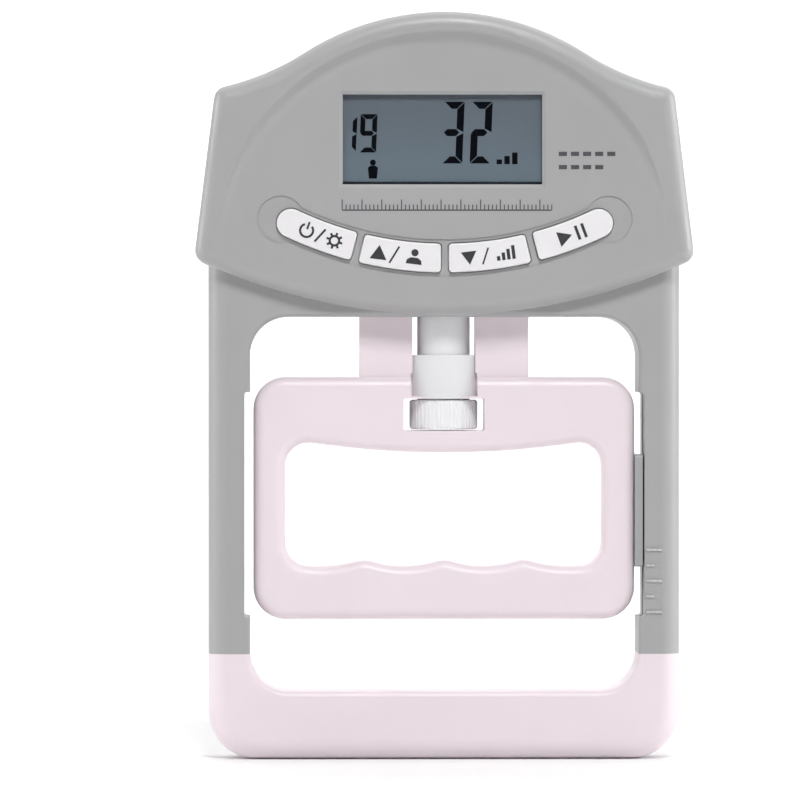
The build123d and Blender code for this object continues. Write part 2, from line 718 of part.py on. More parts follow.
def load_cell_screws():
    group = []
    for z in CELL_SCREW_Z:
        shank = rod_y(CELL_SCREW_X, z, SCREW_R, -CELL_HALF_Y, HEAD_BACK_Y - 1.6)
        head = rod_y(CELL_SCREW_X, z, 2.3, -CELL_HALF_Y - 2.4, -CELL_HALF_Y)
        socket = slab(Pos(CELL_SCREW_X, z) * RegularPolygon(1.2, 6), -CELL_HALF_Y - 3, -CELL_HALF_Y - 1.2)
        item = one(shank + head - socket)
        group += [item, mirror(item, about=Plane.YZ)]
    return Compound(children=[one(s) for s in group])


def strain_gauges():
    group = []
    for x in (CELL_BORE_X - 4.5, CELL_BORE_X + 4.5):
        for sign in (-1, 1):
            group.append(block(sign * x - 2.5, sign * x + 2.5, -3, 3, CELL_Z1, CELL_Z1 + 0.3))
            group.append(block(sign * x - 2.5, sign * x + 2.5, -3, 3, CELL_Z0 - 0.3, CELL_Z0))
    return Compound(children=[one(g) for g in group])


def stud():
    rod = rod_z(0, 0, STUD_R, STUD_Z0, STUD_Z1)
    rod = chamfer([e for e in rod.edges() if e.geom_type == GeomType.CIRCLE], 0.8)
    depth = 0.45
    turns = int((CELL_Z0 - NUT_H - STUD_Z0 - 3.0) / STUD_PITCH)
    for number in range(turns):
        z = STUD_Z0 + 1.6 + number * STUD_PITCH
        ring = Polyline((STUD_R + 0.1, z - 0.45), (STUD_R - depth, z), (STUD_R + 0.1, z + 0.45), close=True)
        rod -= revolve(Plane.XZ * make_face(ring.edges()), Axis.Z)
    return one(rod)


def jam_nut():
    hexagon = RegularPolygon(NUT_ACROSS / 2, 6, major_radius=False)
    nut = extrude(Plane.XY.offset(CELL_Z0 - NUT_H) * hexagon, amount=NUT_H)
    return one(nut - rod_z(0, 0, STUD_R + STUD_SEATING, CELL_Z0 - NUT_H - 1, CELL_Z0 + 1))


def lead(points, radius, wire_r):
    path = FilletPolyline(*points, radius=radius)
    start = path @ 0
    section = Plane(origin=start, z_dir=path % 0) * Circle(wire_r)
    return one(sweep(section, path=path))


def load_cell_leads():
    group = []
    for number in range(4):
        x = -36.0 + 1.3 * number
        points = [(x, 0, CELL_Z1), (x, 0, CELL_Z1 + 5), (x, BOARD_BACK_Y + 1.3, CELL_Z1 + 5)]
        group.append(lead(points, 2.0, 0.45))
    return Compound(children=group)


def battery_leads():
    group = []
    for number in range(2):
        z = 163.0 + 4.0 * number
        points = [(BAY_X + 1.4, 3, z), (30.5, 3, z), (30.5, BOARD_BACK_Y + 1.3, z)]
        group.append(lead(points, 1.6, 0.5))
    return Compound(children=group)


# ---------------------------------------------------------------------------------- handle
def handle_solid():
    outline = rounded(-HANDLE_X, HANDLE_X, HANDLE_Z0, HANDLE_Z1, HANDLE_CORNER_R)
    body = slab(outline, -HANDLE_HALF_Y, HANDLE_HALF_Y)
    body = fillet([e for e in body.edges() if abs(abs(e.center().Y) - HANDLE_HALF_Y) < 0.01], HANDLE_EDGE_R)
    hole = slab(finger_outline(), -HANDLE_HALF_Y - 1, HANDLE_HALF_Y + 1)
    body = one(body - hole)
    rim = [e for e in body.edges() if abs(abs(e.center().Y) - HANDLE_HALF_Y) < 0.01]
    body = fillet([e for e in rim if is_finger_edge(e)], FINGER_EDGE_R)
    body += both_sides(post())
    body -= slab(rounded(-WINDOW_X, WINDOW_X, WINDOW_Z0, WINDOW_Z1, 0.4), -12, 12)
    for side in (-1, 1):
        y0, y1 = sorted((side * NOTCH_Y, side * 20))
        body -= block(-NOTCH_X, NOTCH_X, y0, y1, WINDOW_Z1 + NOTCH_FLOOR, HANDLE_Z1 + 1)
    body -= bush_lugs()
    return body - rod_z(0, 0, BOSS_R, WINDOW_Z0, POST_TOP_Z + 1)


def post():
    column = block(POST_X0, POST_X1, -POST_HALF_Y, POST_HALF_Y, HANDLE_Z1 - 3, POST_TOP_Z)
    column = chamfer([e for e in column.edges() if e.center().Z > POST_TOP_Z - 0.1], 0.8)
    return column


def bush_lugs():
    lugs = rod_z(0, 0, BOSS_R + LUG, LUG_Z[0], LUG_Z[1])
    return lugs & block(-20, 20, -LUG_HALF_Y, LUG_HALF_Y, LUG_Z[0] - 1, LUG_Z[1] + 1)


def neck_bush():
    """Guides the wheel's sleeve and takes its thrust; two lugs hold it between the handle halves."""
    bush = rod_z(0, 0, BOSS_R, WINDOW_Z1, BOSS_Z1)
    bush = fillet([e for e in bush.edges() if e.center().Z > BOSS_Z1 - 0.1], 0.5)
    bush += bush_lugs()
    return one(bush - rod_z(0, 0, SLEEVE_R + SLEEVE_RUNNING, WINDOW_Z0, BOSS_Z1 + 1))


def is_finger_edge(edge):
    c = edge.center()
    return abs(c.X) < FINGER_X + 0.1 and FINGER_VALLEY_Z - 1 < c.Z < FINGER_TOP_SIDE_Z + 0.5


def handle_hollow():
    upper = slab(rounded(14, 38.5, 85.5, 95.5, 2.5), -5.6, 5.6)
    lower = slab(rounded(2, 38.0, 39.0, 46.8, 2.5), -5.6, 5.6)
    return both_sides(upper + lower)


def shoe_pocket():
    return block(SHOE_KEY_X, HANDLE_X + 1, -SHOE_KEY_HALF_Y, SHOE_KEY_HALF_Y, *SHOE_KEY_Z)


def handle_part(half):
    body = half(handle_solid() - handle_hollow())
    body -= shoe_pocket()
    holes = screw_holes(HANDLE_SCREWS, HANDLE_SCREW_TIP_Y, HANDLE_SCREW_SEAT_Y)
    return one(body - holes)


def span_pointer():
    """Grey shoe on the handle's right side: it runs in the leg's groove and points at the span marks."""
    shoe = block(HANDLE_X, SHOE_X, -SHOE_HALF_Y, SHOE_HALF_Y, SHOE_Z0, SHOE_Z1)
    shoe = fillet(shoe.edges().filter_by(Axis.X), 0.8)
    rib = block(SHOE_X - 1, SHOE_RIB_X, -SHOE_RIB_HALF_Y, SHOE_RIB_HALF_Y, SHOE_Z0 + 1, SHOE_Z1 - 1)
    key = block(SHOE_KEY_X, HANDLE_X + 1, -SHOE_KEY_HALF_Y, SHOE_KEY_HALF_Y, *SHOE_KEY_Z)
    return one(shoe + rib + key)


# ---------------------------------------------------------------------------------- wheel
def adjusting_wheel():
    wheel = rod_z(0, 0, WHEEL_R, WHEEL_Z0, WHEEL_Z1)
    wheel = chamfer([e for e in wheel.edges() if e.geom_type == GeomType.CIRCLE], WHEEL_EDGE)
    notch_r = 0.55 * math.pi * WHEEL_R / WHEEL_RIBS
    places = PolarLocations(WHEEL_R + notch_r - WHEEL_RIB_DEPTH, WHEEL_RIBS)
    notches = Sketch(children=[place * Circle(notch_r) for place in places])
    wheel -= extrude(Plane.XY.offset(WHEEL_Z0 - 1) * notches, amount=WHEEL_Z1 - WHEEL_Z0 + 2)
    wheel += rod_z(0, 0, SLEEVE_R, WHEEL_Z1 - 1, SLEEVE_TOP_Z)
    wheel -= rod_z(0, 0, SLEEVE_BORE_R, SLEEVE_BORE_Z0, SLEEVE_TOP_Z + 1)
    return one(wheel - rod_z(0, 0, INSERT_R, SLEEVE_TOP_Z - INSERT_LENGTH, SLEEVE_TOP_Z + 1))


def threaded_insert():
    insert = rod_z(0, 0, INSERT_R, SLEEVE_TOP_Z - INSERT_LENGTH, SLEEVE_TOP_Z)
    return one(insert - rod_z(0, 0, STUD_R + STUD_RUNNING, SLEEVE_BORE_Z0, SLEEVE_TOP_Z + 1))


# ---------------------------------------------------------------------------------- batteries
def battery(z, direction):
    can = rod_x(AAA_Y, z, AAA_R, -AAA_LENGTH / 2, AAA_LENGTH / 2 - 0.8)
    can = fillet([e for e in can.edges() if e.geom_type == GeomType.CIRCLE], 0.5)
    cell = can + rod_x(AAA_Y, z, 1.9, AAA_LENGTH / 2 - 1.5, AAA_LENGTH / 2)
    return one(cell if direction > 0 else mirror(cell, about=Plane.YZ))


def contact_plates():
    plates = []
    for z, side in zip(AAA_Z, (1, -1)):
        plate = block(25.6, 26.1, 1.0, 9.4, z - 4.4, z + 4.4)
        bump = rod_x(AAA_Y, z, 2.2, AAA_LENGTH / 2 + 0.05, 25.7)
        item = one(plate + bump)
        plates.append(item if side > 0 else one(mirror(item, about=Plane.YZ)))
    return Compound(children=plates)


def contact_springs():
    springs = []
    for z, side in zip(AAA_Z, (-1, 1)):
        plate = block(25.6, 26.1, 1.0, 9.4, z - 4.4, z + 4.4)
        coil = Helix(pitch=1.15, height=3.3, radius=3.0, cone_angle=0)
        wire = sweep(Plane(origin=coil @ 0, z_dir=coil % 0) * Circle(0.3), path=coil)
        wire = Pos(AAA_LENGTH / 2 + 0.32, AAA_Y, z) * Rot(0, 90, 0) * wire
        item = one(plate + wire)
        springs.append(item if side > 0 else one(mirror(item, about=Plane.YZ)))
    return Compound(children=springs)


def door_outline(grow):
    half_w = DOOR_X + grow
    plate = Pos(0, (DOOR_Z0 + DOOR_Z1) / 2) * Rectangle(2 * half_w, DOOR_Z1 - DOOR_Z0 + 2 * grow)
    return fillet([v for v in plate.vertices() if v.Y > DOOR_Z1 - 1], DOOR_CORNER_R)


def battery_door():
    door = slab(door_outline(0.0), HEAD_BACK_Y - DOOR_T, HEAD_BACK_Y)
    hinge_edges = [e for e in door.edges() if e.center().Z < DOOR_Z0 + 0.01 and e.length > DOOR_X]
    door = fillet(hinge_edges, DOOR_T / 2 - 0.01)
    back_y = HEAD_BACK_Y - DOOR_T
    tab = block(TAB_X - TAB_W / 2, TAB_X + TAB_W / 2, TAB_Y[0], TAB_Y[1], DOOR_Z0 - 1.2, DOOR_Z0 + 1.6)
    tab += block(TAB_X - TAB_W / 2, TAB_X + TAB_W / 2, TAB_Y[0], back_y + 0.5, DOOR_Z0 + 0.6, DOOR_Z0 + 1.6)
    door += both_sides(tab)
    notch = rod_x(HEAD_BACK_Y + 2.2, DOOR_Z1 - 2.2, 3.0, -6, 6)
    door -= notch
    for number in range(DOOR_GROOVES):
        z = DOOR_Z1 - 7.5 - 1.8 * number
        door -= rod_x(HEAD_BACK_Y + 0.15, z, 0.55, -7, 7)
    return one(door)


# ---------------------------------------------------------------------------------- output
def build():
    solid = housing()
    inner = inner_key_outline()
    outer = outer_key_outline()
    centres = key_centres()
    return {
        "front_shell": front_shell(solid),
        "rear_shell": rear_shell(solid),
        "palm_grip_front": palm_grip_front(),
        "palm_grip_rear": palm_grip_rear(),
        "display_lens": Pos(DISPLAY_X, 0, 0) * display_lens(),
        "display_glass": Pos(DISPLAY_X, 0, 0) * display_glass(),
        "display_holder": Pos(DISPLAY_X, 0, 0) * display_holder(),
        "connector_strip": Pos(DISPLAY_X, 0, 0) * connector_strip(),
        "circuit_board": circuit_board(),
        "board_screws": board_screws(),
        "board_chips": board_chips(),
        "tact_switches": tact_switches(),
        "button_power": button(outer, -1),
        "button_up": button(inner, -1),
        "button_down": button(inner, 1),
        "button_start": button(outer, 1),
        "plunger_power": plunger(centres[0]),
        "plunger_up": plunger(centres[1]),
        "plunger_down": plunger(centres[2]),
        "plunger_start": plunger(centres[3]),
        "load_cell": load_cell(),
        "load_cell_screws": load_cell_screws(),
        "strain_gauges": strain_gauges(),
        "stud": stud(),
        "jam_nut": jam_nut(),
        "load_cell_leads": load_cell_leads(),
        "battery_leads": battery_leads(),
        "shell_screws": screws(SHELL_SCREWS, SCREW_TIP_Y, SCREW_SEAT_Y),
        "grip_screws": screws(GRIP_SCREWS, SCREW_TIP_Y, SCREW_SEAT_Y),
        "handle_front": handle_part(front_half),
        "handle_rear": handle_part(rear_half),
        "handle_screws": screws(HANDLE_SCREWS, HANDLE_SCREW_TIP_Y, HANDLE_SCREW_SEAT_Y),
        "span_pointer": span_pointer(),
        "neck_bush": neck_bush(),
        "adjusting_wheel": adjusting_wheel(),
        "threaded_insert": threaded_insert(),
        "battery_upper": battery(AAA_Z[1], -1),
        "battery_lower": battery(AAA_Z[0], 1),
        "contact_plates": contact_plates(),
        "contact_springs": contact_springs(),
        "battery_door": battery_door(),
    }


os.makedirs("parts", exist_ok=True)
for name, shape in build().items():
    export_step(shape, f"parts/{name}.step")
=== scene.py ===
import json
import math

import bpy
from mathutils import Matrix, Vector


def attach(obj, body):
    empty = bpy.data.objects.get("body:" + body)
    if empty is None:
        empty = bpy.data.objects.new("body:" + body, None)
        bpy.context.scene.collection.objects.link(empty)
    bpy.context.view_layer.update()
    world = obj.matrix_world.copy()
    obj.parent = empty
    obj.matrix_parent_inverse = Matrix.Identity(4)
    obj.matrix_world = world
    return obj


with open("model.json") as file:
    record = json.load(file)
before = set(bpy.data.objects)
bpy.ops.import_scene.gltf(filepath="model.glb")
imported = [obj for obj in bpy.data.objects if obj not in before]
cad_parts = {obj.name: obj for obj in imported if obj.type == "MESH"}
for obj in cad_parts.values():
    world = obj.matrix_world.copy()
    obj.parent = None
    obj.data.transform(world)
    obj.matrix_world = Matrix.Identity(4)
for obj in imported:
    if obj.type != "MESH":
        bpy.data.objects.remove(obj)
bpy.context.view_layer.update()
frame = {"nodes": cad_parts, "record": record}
NODES = frame["nodes"]
MM = 0.001

# Layout taken over from the CAD part, in millimetres.
FACE_Y = -15.3
KEY_Y = -16.2
LCD_Y = -13.25
LCD_X, LCD_Z = -0.6, 159.3
LCD_W, LCD_H = 51.1, 23.0
ROW_Z, ROW_R = 220.4, 91.5
MARK_Y = -10.85
MARK_X = 51.9
MARK_FIRST_Z, MARK_PITCH = 38.0, 4.0
MARK_COUNT, MARK_LONG, MARK_SHORT, MARK_W = 5, 4.1, 2.0, 0.56
KEY_DEGREES = {"power": -20.3, "up": -7.05, "down": 7.05, "start": 20.3}
KEY_PRINT_SCALE = {"power": 1.15, "up": 1.15, "down": 1.05, "start": 1.25}
RULE_X0, RULE_X1, RULE_Z, RULE_LINE_W = -26.3, 27.4, 141.0, 0.35
RULE_TICKS, RULE_TICK_W, RULE_LONG_TOP, RULE_SHORT_TOP = 54, 0.28, 143.9, 142.6
DASH_X, DASH_ROWS_Z, DASH_PITCH, DASH_LENGTH, DASH_W = 29.2, (155.6, 152.2), 3.1, 2.1, 1.1
PRINT_T, PRINT_SUNK = 0.03, 0.005


# ------------------------------------------------------------------------------ materials
def srgb(r, g, b):
    """A colour given as 8-bit sRGB, as linear RGBA."""
    def linear(v):
        v /= 255
        return v / 12.92 if v <= 0.04045 else ((v + 0.055) / 1.055) ** 2.4
    return (linear(r), linear(g), linear(b), 1.0)


def new_material(name):
    material = bpy.data.materials.new(name)
    material.use_nodes = True
    tree = material.node_tree
    shader = tree.nodes["Principled BSDF"]
    coords = tree.nodes.new("ShaderNodeTexCoord")
    return material, tree, shader, coords


def noise(tree, coords, size_mm, detail=3.0, roughness=0.5, stretch=(1, 1, 1)):
    mapping = tree.nodes.new("ShaderNodeMapping")
    mapping.inputs["Scale"].default_value = stretch
    texture = tree.nodes.new("ShaderNodeTexNoise")
    texture.inputs["Scale"].default_value = 1000.0 / size_mm
    texture.inputs["Detail"].default_value = detail
    texture.inputs["Roughness"].default_value = roughness
    tree.links.new(coords.outputs["Object"], mapping.inputs["Vector"])
    tree.links.new(mapping.outputs["Vector"], texture.inputs["Vector"])
    return texture.outputs["Fac"]


def spread(tree, value, low, high):
    """Maps a noise value to a range."""
    node = tree.nodes.new("ShaderNodeMapRange")
    node.inputs["From Min"].default_value = 0.3
    node.inputs["From Max"].default_value = 0.7
    node.inputs["To Min"].default_value = low
    node.inputs["To Max"].default_value = high
    tree.links.new(value, node.inputs["Value"])
    return node.outputs["Result"]


def tint(tree, value, dark, light):
    ramp = tree.nodes.new("ShaderNodeValToRGB")
    ramp.color_ramp.elements[0].position = 0.32
    ramp.color_ramp.elements[1].position = 0.68
    ramp.color_ramp.elements[0].color = dark
    ramp.color_ramp.elements[1].color = light
    tree.links.new(value, ramp.inputs["Fac"])
    return ramp.outputs["Color"]


def shade(colour, factor):
    return (*[min(1.0, c * factor) for c in colour[:3]], 1.0)


def bump(tree, shader, height, strength, distance_mm, below=None):
    node = tree.nodes.new("ShaderNodeBump")
    node.inputs["Strength"].default_value = strength
    node.inputs["Distance"].default_value = distance_mm * MM
    tree.links.new(height, node.inputs["Height"])
    if below is not None:
        tree.links.new(below, node.inputs["Normal"])
    tree.links.new(node.outputs["Normal"], shader.inputs["Normal"])
    return node.outputs["Normal"]


def moulded(name, colour, roughness, grain_mm=0.35, grain_depth=0.02, mottle=0.03, soft=0.0, specular=0.5):
    """Injection-moulded plastic: fine grain, faint flow mottling and uneven gloss."""
    material, tree, shader, coords = new_material(name)
    broad = noise(tree, coords, 22.0, 2.0)
    colour_out = tint(tree, broad, shade(colour, 1 - mottle), shade(colour, 1 + mottle))
    tree.links.new(colour_out, shader.inputs["Base Color"])
    gloss = noise(tree, coords, 7.0, 4.0, 0.6)
    tree.links.new(spread(tree, gloss, roughness - 0.05, roughness + 0.05), shader.inputs["Roughness"])
    flow = noise(tree, coords, 14.0, 1.0)
    first = bump(tree, shader, flow, 0.25, 0.02)
    grain = noise(tree, coords, grain_mm, 2.0, 0.55)
    bump(tree, shader, grain, 1.0, grain_depth, first)
    shader.inputs["Specular IOR Level"].default_value = specular
    if soft:
        shader.inputs["Subsurface Weight"].default_value = soft
        shader.inputs["Subsurface Radius"].default_value = (1.0, 0.8, 0.75)
        shader.inputs["Subsurface Scale"].default_value = 0.0012
    return material


def machined(name, colour, roughness, stretch=(1, 1, 12), metallic=1.0):
    """Turned or milled metal with fine tool lines."""
    material, tree, shader, coords = new_material(name)
    lines = noise(tree, coords, 3.0, 5.0, 0.6, stretch)
    tree.links.new(tint(tree, lines, shade(colour, 0.86), shade(colour, 1.08)), shader.inputs["Base Color"])
    tree.links.new(spread(tree, lines, roughness - 0.06, roughness + 0.08), shader.inputs["Roughness"])
    bump(tree, shader, lines, 0.4, 0.01)
    shader.inputs["Metallic"].default_value = metallic
    return material


def display_cell():
    """Unlit reflective liquid crystal: blue-grey, lighter towards the bottom and darker at the top as
    painted shade under the window's upper edge.
    """
    material, tree, shader, coords = new_material("liquid_crystal")
    split = tree.nodes.new("ShaderNodeSeparateXYZ")
    tree.links.new(coords.outputs["Object"], split.inputs["Vector"])
    height = tree.nodes.new("ShaderNodeMapRange")
    height.inputs["From Min"].default_value = (LCD_Z - LCD_H / 2) * MM
    height.inputs["From Max"].default_value = (LCD_Z + LCD_H / 2) * MM
    tree.links.new(split.outputs["Z"], height.inputs["Value"])
    # Painted shade: the ramp darkens the cell towards the top, where the window's upper edge shades it.
    ramp = tree.nodes.new("ShaderNodeValToRGB")
    ramp.color_ramp.elements[0].color = srgb(115, 128, 138)
    ramp.color_ramp.elements[1].color = srgb(106, 112, 120)
    tree.links.new(height.outputs["Result"], ramp.inputs["Fac"])
    mix = tree.nodes.new("ShaderNodeMixRGB")
    mix.blend_type = "MULTIPLY"
    mix.inputs["Fac"].default_value = 1.0
    pixel = noise(tree, coords, 0.3, 2.0)
    tree.links.new(ramp.outputs["Color"], mix.inputs["Color1"])
    tree.links.new(tint(tree, pixel, (0.96, 0.96, 0.96, 1), (1, 1, 1, 1)), mix.inputs["Color2"])
    tree.links.new(mix.outputs["Color"], shader.inputs["Base Color"])
    tree.links.new(spread(tree, pixel, 0.32, 0.4), shader.inputs["Roughness"])
    shader.inputs["Specular IOR Level"].default_value = 0.1
    return material


def clear_window():
    """Thin clear acrylic: lets light straight through, and reflects more at a glancing angle."""
    material, tree, shader, coords = new_material("clear_acrylic")
    tree.nodes.remove(shader)
    output = tree.nodes["Material Output"]
    clear = tree.nodes.new("ShaderNodeBsdfTransparent")
    clear.inputs["Color"].default_value = (0.97, 0.98, 0.985, 1)
    gloss = tree.nodes.new("ShaderNodeBsdfGlossy")
    gloss.inputs["Color"].default_value = (1, 1, 1, 1)
    haze = noise(tree, coords, 6.0, 3.0)
    tree.links.new(spread(tree, haze, 0.04, 0.09), gloss.inputs["Roughness"])
    angle = tree.nodes.new("ShaderNodeLayerWeight")
    angle.inputs["Blend"].default_value = 0.5
    glance = tree.nodes.new("ShaderNodeMath")
    glance.operation = "POWER"
    glance.inputs[1].default_value = 5.0
    tree.links.new(angle.outputs["Facing"], glance.inputs[0])
    share = tree.nodes.new("ShaderNodeMapRange")
    share.inputs["To Min"].default_value = 0.008
    share.inputs["To Max"].default_value = 0.9
    tree.links.new(glance.outputs["Value"], share.inputs["Value"])
    mix = tree.nodes.new("ShaderNodeMixShader")
    tree.links.new(share.outputs["Result"], mix.inputs["Fac"])
    tree.links.new(clear.outputs["BSDF"], mix.inputs[1])
    tree.links.new(gloss.outputs["BSDF"], mix.inputs[2])
    tree.links.new(mix.outputs["Shader"], output.inputs["Surface"])
    return material


def ink(name, colour, roughness=0.45, specular=0.4):
    """Pad-printed ink with slightly uneven cover."""
    material, tree, shader, coords = new_material(name)
    cover = noise(tree, coords, 0.5, 4.0, 0.65)
    tree.links.new(tint(tree, cover, shade(colour, 0.8), shade(colour, 1.3)), shader.inputs["Base Color"])
    tree.links.new(spread(tree, cover, roughness - 0.06, roughness + 0.08), shader.inputs["Roughness"])
    bump(tree, shader, cover, 0.2, 0.01)
    shader.inputs["Specular IOR Level"].default_value = specular
    return material


SHELL = moulded("grey_shell_plastic", srgb(166, 166, 167), 0.42, 0.32, 0.016, 0.012, 0.0, 0.65)
WHITE = moulded("white_grip_plastic", srgb(236, 224, 230), 0.38, 0.5, 0.008, 0.012, 0.12)
KEYS = moulded("white_key_plastic", srgb(234, 232, 234), 0.36, 0.45, 0.006, 0.01, 0.10)
WHEEL = moulded("white_wheel_plastic", srgb(242, 242, 244), 0.34, 0.45, 0.006, 0.012, 0.12)
BUSH = moulded("white_bush_plastic", srgb(230, 230, 232), 0.4, 0.45, 0.006, 0.012, 0.12)
SHOE = moulded("grey_shoe_plastic", srgb(166, 167, 168), 0.42, 0.6, 0.01, 0.03)
MATERIALS = {
    "shell_grey": SHELL,
    "grip_white": WHITE,
    "key_white": KEYS,
    "wheel_white": WHEEL,
    "shoe_grey": SHOE,
    "clear_window": clear_window(),
    "display_glass": display_cell(),
    "holder_white": moulded("white_holder_plastic", srgb(225, 224, 220), 0.5),
    "connector_rubber": moulded("pink_connector_rubber", srgb(205, 165, 170), 0.7, 0.25, 0.02, 0.06),
    "board_green": moulded("green_board_laminate", srgb(28, 96, 52), 0.38, 0.9, 0.012, 0.12),
    "chip_black": moulded("black_chip_epoxy", srgb(34, 34, 36), 0.55, 0.2, 0.012, 0.05),
    "switch_black": moulded("black_switch_plastic", srgb(40, 40, 42), 0.5, 0.3, 0.012, 0.05),
    "cell_aluminium": machined("milled_aluminium", (0.78, 0.78, 0.79, 1), 0.34, (12, 1, 1)),
    "gauge_film": moulded("amber_gauge_film", srgb(190, 130, 45), 0.3, 0.4, 0.01, 0.08),
    "steel": machined("zinc_plated_steel", (0.58, 0.58, 0.60, 1), 0.3),
    "brass": machined("turned_brass", (0.78, 0.58, 0.26, 1), 0.26),
    "nickel_contact": machined("nickel_plated_spring_steel", (0.72, 0.71, 0.68, 1), 0.22),
    "lead_insulation": moulded("red_lead_insulation", srgb(150, 35, 30), 0.45, 0.6, 0.01, 0.05),
    "battery_jacket": moulded("dark_battery_jacket", srgb(48, 54, 66), 0.28, 1.2, 0.004, 0.05),
}
INK = ink("dark_print", srgb(52, 52, 56))
FACE_INK = ink("grey_print", srgb(76, 76, 80))
SEGMENTS = ink("liquid_crystal_segments", srgb(8, 11, 17), 0.6, 0.0)
# Painted highlight: the span marks are raised ribs, and their light grey ink stands in for the light
# catching them.
MARK_HIGHLIGHT_INK = ink("painted_highlight_print", srgb(188, 188, 190))

# The bush shares the wheel's slot, but its white is a little darker.
for entry in frame["record"]["subparts"]:
    node = NODES[entry["node"]]
    node.data.materials.clear()
    node.data.materials.append(BUSH if entry["node"] == "neck_bush" else MATERIALS[entry["material_slot"]])


# ------------------------------------------------------------------------------ thin prints
class Print:
    """Thin raised shapes drawn in millimetres in a plane that faces -Y, gathered in one mesh."""

    def __init__(self, y_surface, thickness=PRINT_T, origin=(0.0, 0.0), degrees=0.0, scale=1.0):
        self.front = y_surface - thickness
        self.back = y_surface + PRINT_SUNK
        self.origin = origin
        self.angle = math.radians(degrees)
        self.scale = scale
        self.vertices = []
        self.faces = []

    def place(self, x, z):
        c, s = self.scale * math.cos(self.angle), self.scale * math.sin(self.angle)
        return (self.origin[0] + x * c - z * s, self.origin[1] + x * s + z * c)

    def polygon(self, points):
        """A closed outline, anticlockwise as seen from the front."""
        start = len(self.vertices)
        count = len(points)
        for y in (self.front, self.back):
            for x, z in points:
                px, pz = self.place(x, z)
                self.vertices.append((px * MM, y * MM, pz * MM))
        self.faces.append([start + n for n in range(count)])
        self.faces.append([start + count + n for n in reversed(range(count))])
        for n in range(count):
            m = (n + 1) % count
            self.faces.append([start + m, start + n, start + count + n, start + count + m])

    def bar(self, x0, z0, x1, z1):
        self.polygon([(x0, z0), (x1, z0), (x1, z1), (x0, z1)])

    def stroke(self, a, b, width):
        dx, dz = b[0] - a[0], b[1] - a[1]
        length = math.hypot(dx, dz)
        nx, nz = -dz / length * width / 2, dx / length * width / 2
        self.polygon([
            (a[0] - nx, a[1] - nz), (b[0] - nx, b[1] - nz),
            (b[0] + nx, b[1] + nz), (a[0] + nx, a[1] + nz),
        ])

    def disc(self, x, z, radius, steps=24):
        self.polygon([
            (x + radius * math.cos(2 * math.pi * n / steps), z + radius * math.sin(2 * math.pi * n / steps))
            for n in range(steps)
        ])

    def arc(self, x, z, radius, width, start_deg, end_deg, steps=20):
        angles = [math.radians(start_deg + (end_deg - start_deg) * n / steps) for n in range(steps + 1)]
        for a, b in zip(angles, angles[1:]):
            inner, outer = radius - width / 2, radius + width / 2
            self.polygon([
                (x + inner * math.cos(a), z + inner * math.sin(a)),
                (x + outer * math.cos(a), z + outer * math.sin(a)),
                (x + outer * math.cos(b), z + outer * math.sin(b)),
                (x + inner * math.cos(b), z + inner * math.sin(b)),
            ])

    def digit(self, character, x, z, width, height, thick, slant):
        """A seven-segment numeral with its lower left corner at x, z."""
        gap = thick * 0.08
        mid = height / 2
        half = thick / 2


        def upright(outer, inner):
            """The lower and the upper segment of one side, cut at a slope where they meet the others."""
            lower = [(outer, gap), (inner, thick + gap),
                     (inner, mid - half - gap), (outer, mid - gap)]
            upper = [(outer, mid + gap), (inner, mid + half + gap),
                     (inner, height - thick - gap), (outer, height - gap)]
            if outer > inner:
                lower.reverse()
                upper.reverse()
            return lower, upper

        def end_bar(outer, inner):
            """The top or the bottom segment, longest along its outer edge."""
            bar = [(gap, outer), (width - gap, outer), (width - thick - gap, inner), (thick + gap, inner)]
            if outer > inner:
                bar.reverse()
            return bar

        shapes = {
            "a": end_bar(height, height - thick),
            "d": end_bar(0.0, thick),
            "g": [(gap, mid), (half + gap, mid - half), (width - thick - gap, mid - half),
                  (width - half - gap, mid), (width - thick - gap, mid + half), (half + gap, mid + half)],
        }
        shapes["e"], shapes["f"] = upright(0.0, thick)
        shapes["c"], shapes["b"] = upright(width, width - thick)
        lit = {"1": "bc", "2": "abged", "3": "abgcd", "9": "abcdfg"}[character]
        for name in lit:
            self.polygon([(x + px + slant * pz, z + pz) for px, pz in shapes[name]])

    def build(self, name, material, body, slot):
        mesh = bpy.data.meshes.new(name)
        mesh.from_pydata(self.vertices, [], self.faces)
        mesh.update()
        obj = bpy.data.objects.new(name, mesh)
        bpy.context.scene.collection.objects.link(obj)
        obj.data.materials.append(material)
        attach(obj, body)
        return obj


def display_segments():
    lcd = Print(LCD_Y - 0.006, 0.028)
    lcd.digit("1", -25.9, 156.3, 3.1, 8.9, 1.1, 0.05)
    lcd.digit("9", -21.9, 156.0, 4.3, 9.8, 1.25, 0.04)
    lcd.digit("3", -0.7, 153.2, 5.2, 15.8, 1.8, 0.04)
    lcd.digit("2", 6.4, 153.2, 5.3, 15.8, 1.8, 0.04)
    lcd.disc(-18.4, 153.4, 0.75)
    lcd.polygon([(-19.4, 149.3), (-17.4, 149.3), (-17.1, 152.1),
                 (-17.8, 152.6), (-19.0, 152.6), (-19.7, 152.1)])
    for number in range(3):
        lcd.bar(13.3 + 2.0 * number, 153.0, 14.7 + 2.0 * number, 154.2 + 0.9 * number)
    lcd.build("display_segments", SEGMENTS, "frame", "display_glass")


